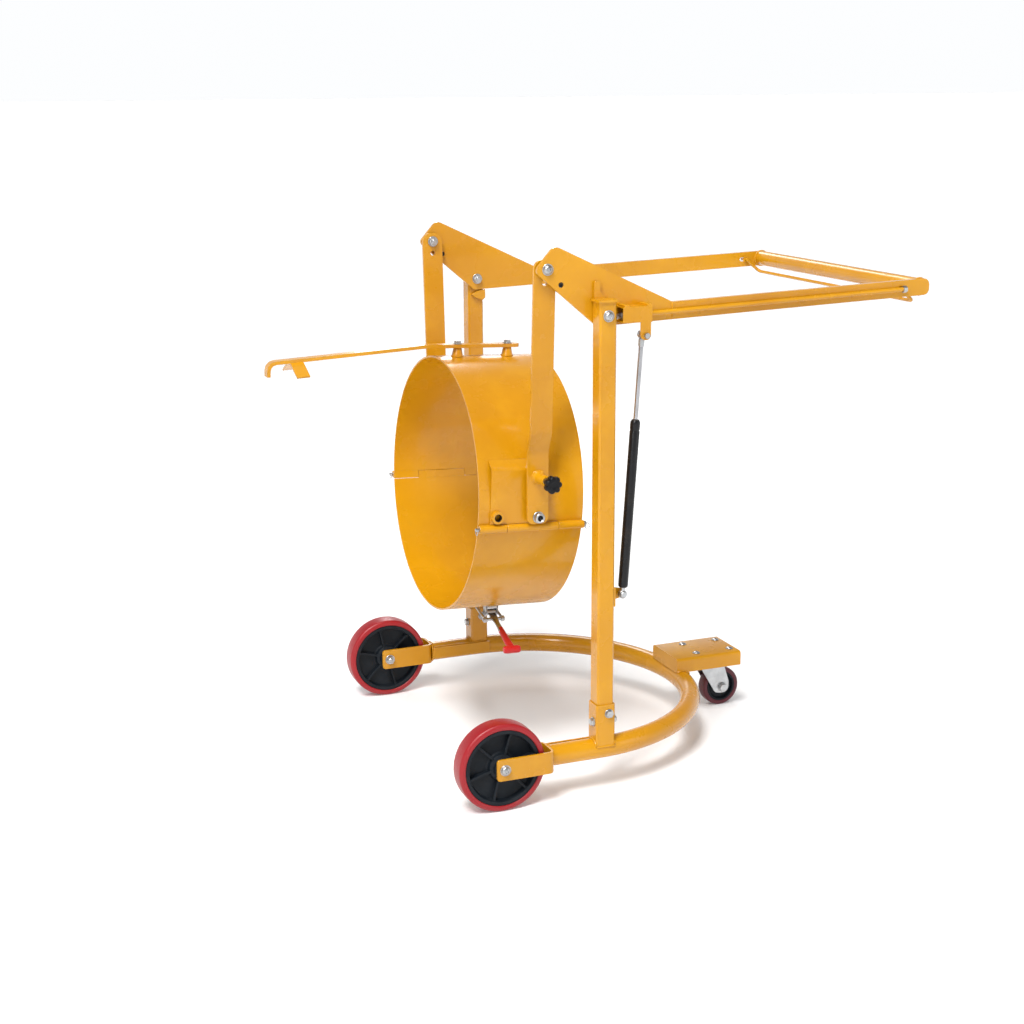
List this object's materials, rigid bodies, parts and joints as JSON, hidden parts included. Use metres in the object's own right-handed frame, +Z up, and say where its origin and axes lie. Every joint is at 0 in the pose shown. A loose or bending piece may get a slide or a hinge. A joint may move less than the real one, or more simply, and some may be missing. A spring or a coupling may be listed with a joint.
{
  "type": "drum dolly",
  "caption": "Three-wheeled drum dolly whose lever frame carries a tilting two-door band for one steel drum.",
  "frame": {"origin": "middle of the footprint on the floor", "axes": "+Z up, +X towards the handle and the swivel caster, -Y towards the side with the strut and the locking knob"},
  "size_m": [1.4726, 0.9004, 1.2214],
  "materials": {
    "frame_paint": "gloss yellow enamel, lightly chipped",
    "zinc_steel": "zinc plated",
    "chrome_rod": "polished",
    "black_paint": "satin black",
    "red_tyre": "matt polyurethane",
    "wheel_core": "moulded",
    "maroon_tyre": "semi-gloss polyurethane",
    "black_plastic": "moulded",
    "red_grip": "dipped vinyl"
  },
  "bodies": {
    "frame": {"base_tube": "frame_paint", "caster_bracket": "frame_paint", "caster_plate": "zinc_steel", "strut_lower_bracket": "frame_paint", "near_wheel_fork": "frame_paint", "far_wheel_fork": "frame_paint", "near_leg_bar": "frame_paint", "far_leg_bar": "frame_paint", "near_post_socket": "frame_paint", "far_post_socket": "frame_paint", "near_post": "frame_paint", "far_post": "frame_paint", "near_lever_stop": "frame_paint", "far_lever_stop": "frame_paint", "near_socket_side_bolt": "zinc_steel", "far_socket_side_bolt": "zinc_steel", "near_socket_cross_bolt": "zinc_steel", "far_socket_cross_bolt": "zinc_steel", "near_lever_bolt": "zinc_steel", "far_lever_bolt": "zinc_steel", "near_axle": "zinc_steel", "far_axle": "zinc_steel"},
    "near_wheel": {"near_tyre": "red_tyre", "near_wheel_core": "wheel_core"},
    "far_wheel": {"far_tyre": "red_tyre", "far_wheel_core": "wheel_core"},
    "caster_swivel": {"caster_yoke": "zinc_steel", "caster_axle": "zinc_steel"},
    "caster_wheel": {"caster_core": "wheel_core", "caster_tyre": "maroon_tyre"},
    "lever": {"near_lever_plate": "frame_paint", "far_lever_plate": "frame_paint", "near_handle_bar": "frame_paint", "far_handle_bar": "frame_paint", "near_arm_bolt": "zinc_steel", "far_arm_bolt": "zinc_steel", "grip_tube": "frame_paint", "strut_upper_bracket": "frame_paint"},
    "release": {"release_rod": "frame_paint", "release_bail": "frame_paint"},
    "arms": {"near_arm": "frame_paint", "far_arm": "frame_paint", "plunger_housing": "frame_paint"},
    "plunger": {"lock_knob": "black_plastic"},
    "holder": {"near_holder_pivot": "zinc_steel", "far_holder_pivot": "zinc_steel", "near_index_bracket": "frame_paint", "far_index_bracket": "frame_paint", "near_hinge_pin": "zinc_steel", "far_hinge_pin": "zinc_steel", "band_half": "frame_paint", "rim_hook_bar": "frame_paint", "hook_bolt_front": "zinc_steel", "hook_bolt_back": "zinc_steel"},
    "near_door": {"near_door": "frame_paint"},
    "far_door": {"far_door": "frame_paint"},
    "latch_lever": {"latch_lever": "red_grip"},
    "latch_bail": {"latch_bail": "zinc_steel"},
    "strut_cylinder": {"strut_cylinder": "black_paint"},
    "strut_rod": {"strut_rod": "chrome_rod"}
  },
  "joints": [
    {"name": "near_wheel_spin", "type": "hinge", "parent": "frame", "child": "near_wheel", "pos_m": [-0.34673, -0.405, 0.1015], "axis": [0, 1, 0], "continuous": true},
    {"name": "far_wheel_spin", "type": "hinge", "parent": "frame", "child": "far_wheel", "pos_m": [-0.34673, 0.405, 0.1015], "axis": [0, 1, 0], "continuous": true},
    {"name": "caster_turn", "type": "hinge", "parent": "frame", "child": "caster_swivel", "pos_m": [0.37927, 0, 0.14], "axis": [0, 0, 1], "continuous": true},
    {"name": "caster_wheel_spin", "type": "hinge", "parent": "caster_swivel", "child": "caster_wheel", "pos_m": [0.41727, 0, 0.05], "axis": [0, 1, 0], "continuous": true},
    {"name": "lever_lift", "type": "hinge", "parent": "frame", "child": "lever", "pos_m": [-0.09573, 0, 1.077], "axis": [0, -1, 0], "range_deg": [0, 30]},
    {"name": "arms_hang", "type": "hinge", "parent": "lever", "child": "arms", "pos_m": [-0.21773, 0, 1.176], "axis": [0, -1, 0], "range_deg": [-30, 0]},
    {"name": "holder_tilt", "type": "hinge", "parent": "arms", "child": "holder", "pos_m": [-0.21773, 0, 0.63], "axis": [0, 1, 0], "range_deg": [-60, 87.5]},
    {"name": "near_door_swing", "type": "hinge", "parent": "holder", "child": "near_door", "pos_m": [-0.21887, -0.3012, 0.60403], "axis": [-0.999, 0, 0.0436], "range_deg": [0, 45]},
    {"name": "far_door_swing", "type": "hinge", "parent": "holder", "child": "far_door", "pos_m": [-0.21887, 0.3012, 0.60403], "axis": [0.999, 0, -0.0436], "range_deg": [0, 45]},
    {"name": "latch_turn", "type": "hinge", "parent": "near_door", "child": "latch_lever", "pos_m": [-0.22365, -0.04, 0.33398], "axis": [0.999, 0, -0.0436], "range_deg": [0, 90]},
    {"name": "bail_turn", "type": "hinge", "parent": "latch_lever", "child": "latch_bail", "pos_m": [-0.22417, -0.06119, 0.32202], "axis": [0.999, 0, -0.0436], "range_deg": [-90, 0]},
    {"name": "lock_pull", "type": "slide", "parent": "arms", "child": "plunger", "axis": [0, -1, 0], "range_m": [0, 0.012], "stiffness_N_per_m": 800, "springref_m": -0.008},
    {"name": "release_slide", "type": "slide", "parent": "lever", "child": "release", "axis": [0.9995, 0, 0.0314], "range_m": [-0.01, 0]},
    {"name": "strut_swing", "type": "hinge", "parent": "frame", "child": "strut_cylinder", "pos_m": [-0.04773, -0.395, 0.455], "axis": [0, 1, 0], "range_deg": [0, 1]},
    {"name": "strut_extend", "type": "slide", "parent": "strut_cylinder", "child": "strut_rod", "axis": [0.0693, 0, 0.9976], "range_m": [0, 0.052]}
  ],
  "couplings": [
    {"joint": "arms_hang", "follows": "lever_lift", "ratio": -1},
    {"joint": "strut_swing", "follows": "lever_lift", "ratio": 0.03085},
    {"joint": "strut_extend", "follows": "lever_lift", "m_per_rad": 0.0972},
    {"joint": "bail_turn", "follows": "latch_turn", "ratio": -1}
  ]
}
